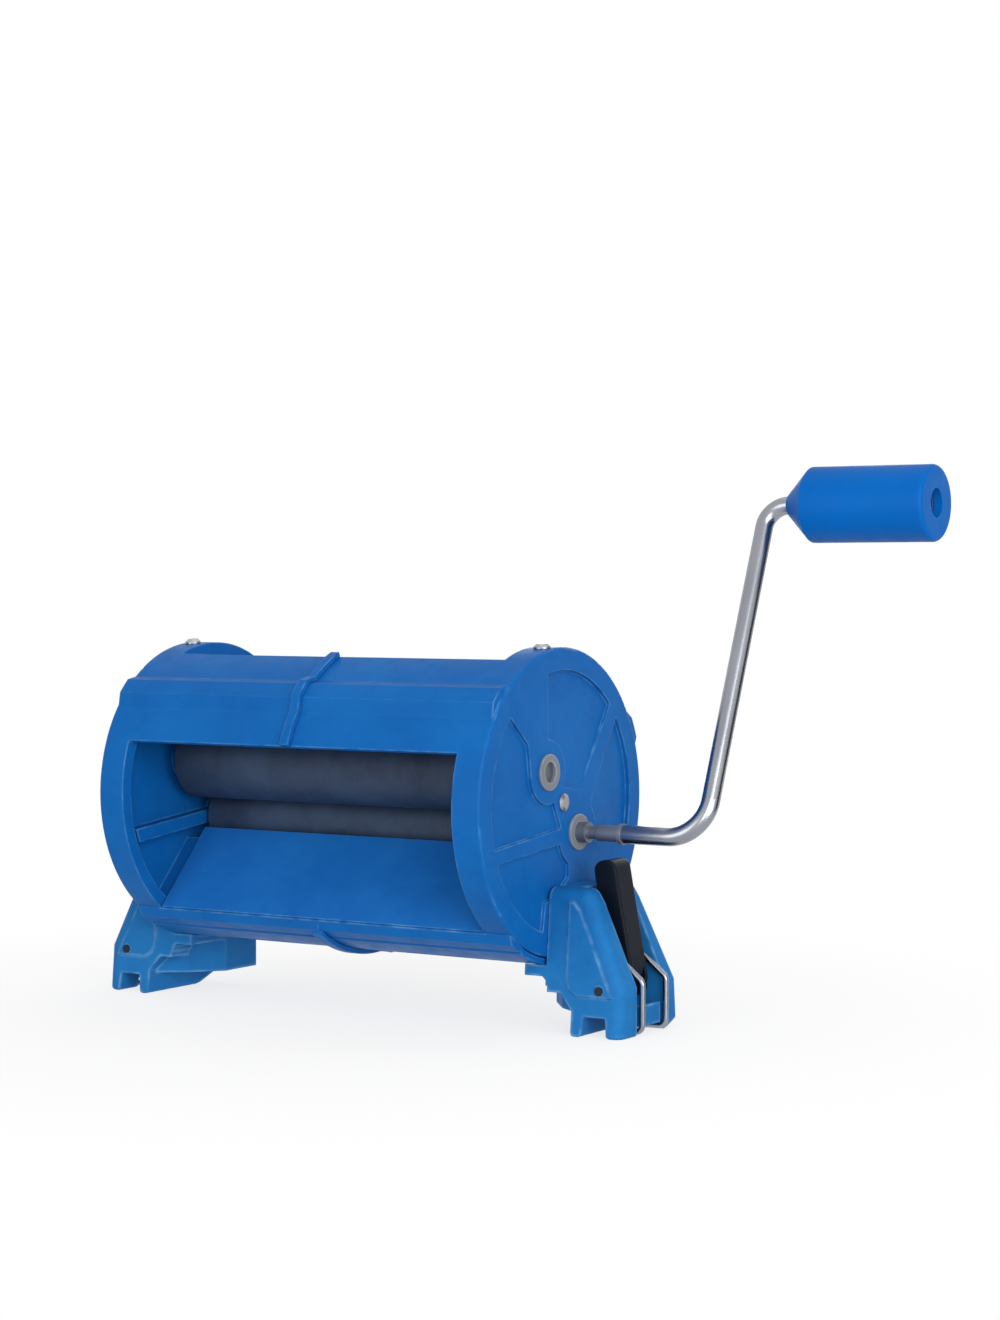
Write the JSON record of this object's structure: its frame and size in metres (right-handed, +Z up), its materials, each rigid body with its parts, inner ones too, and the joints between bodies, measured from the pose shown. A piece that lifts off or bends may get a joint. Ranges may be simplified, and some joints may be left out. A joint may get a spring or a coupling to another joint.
{
  "type": "hand-cranked roller wringer",
  "caption": "Hand-cranked wringer: a drum housing open at front and back holds a pair of rubber rollers over a drain board, with toggle clamps on its feet for a tub's rim.",
  "frame": {"origin": "on the plane of the feet's lowest faces, midway between the two clamp feet along the rollers and level with the drum's axis front to back", "axes": "+X along the rollers towards the crank, +Y to the back, where the pressed cloth leaves, +Z up"},
  "size_m": [0.607, 0.2436, 0.3812],
  "materials": {
    "blue_plastic": "moulded, satin",
    "grip_plastic": "moulded, satin",
    "lever_plastic": "moulded, satin",
    "bush_plastic": "turned",
    "roller_rubber": "ground, matte",
    "stainless": "bright, drawn"
  },
  "bodies": {
    "frame": {"housing_left": "blue_plastic", "housing_right": "blue_plastic", "drain_board": "blue_plastic", "foot_left": "blue_plastic", "foot_right": "blue_plastic", "upper_bush_left": "bush_plastic", "upper_bush_right": "bush_plastic", "lower_bush_left": "bush_plastic", "lower_bush_right": "bush_plastic", "thrust_washers": "bush_plastic", "lever_pins_left": "stainless", "lever_pins_right": "stainless", "top_screws": "stainless", "centre_screws": "stainless", "foot_screws": "stainless", "seam_screws": "stainless"},
    "crank": {"lower_shaft": "stainless", "lower_roller": "roller_rubber", "crank_hub": "stainless", "crank_pin": "stainless", "crank_rod": "stainless", "grip_washer": "stainless"},
    "upper_roll": {"upper_shaft": "stainless", "upper_roller": "roller_rubber"},
    "grip": {"grip": "grip_plastic"},
    "lever_right": {"lever_right": "lever_plastic"},
    "lever_left": {"lever_left": "lever_plastic"},
    "bail_right": {"bail_right": "stainless"},
    "bail_left": {"bail_left": "stainless"}
  },
  "joints": [
    {"name": "crank_spin", "type": "hinge", "parent": "frame", "child": "crank", "pos_m": [0, 0.01927, 0.1321], "axis": [1, 0, 0], "continuous": true},
    {"name": "upper_roller_spin", "type": "hinge", "parent": "frame", "child": "upper_roll", "pos_m": [0, -0.01927, 0.1749], "axis": [1, 0, 0], "continuous": true},
    {"name": "grip_spin", "type": "hinge", "parent": "crank", "child": "grip", "pos_m": [0.328, 0.11258, 0.35517], "axis": [1, 0, 0], "continuous": true},
    {"name": "lever_right_swing", "type": "hinge", "parent": "frame", "child": "lever_right", "pos_m": [0.2027, 0.014, 0.0315], "axis": [0, 1, 0], "range_deg": [0, 100]},
    {"name": "lever_left_swing", "type": "hinge", "parent": "frame", "child": "lever_left", "pos_m": [-0.2027, 0.014, 0.0315], "axis": [0, -1, 0], "range_deg": [0, 100]},
    {"name": "bail_right_swing", "type": "hinge", "parent": "lever_right", "child": "bail_right", "pos_m": [0.19896, 0.014, 0.05552], "axis": [0, 1, 0], "range_deg": [-100, 0]},
    {"name": "bail_left_swing", "type": "hinge", "parent": "lever_left", "child": "bail_left", "pos_m": [-0.19896, 0.014, 0.05552], "axis": [0, -1, 0], "range_deg": [-100, 0]}
  ],
  "couplings": [
    {"joint": "upper_roller_spin", "follows": "crank_spin", "ratio": -1},
    {"joint": "bail_right_swing", "follows": "lever_right_swing", "ratio": -1},
    {"joint": "bail_left_swing", "follows": "lever_left_swing", "ratio": -1}
  ]
}
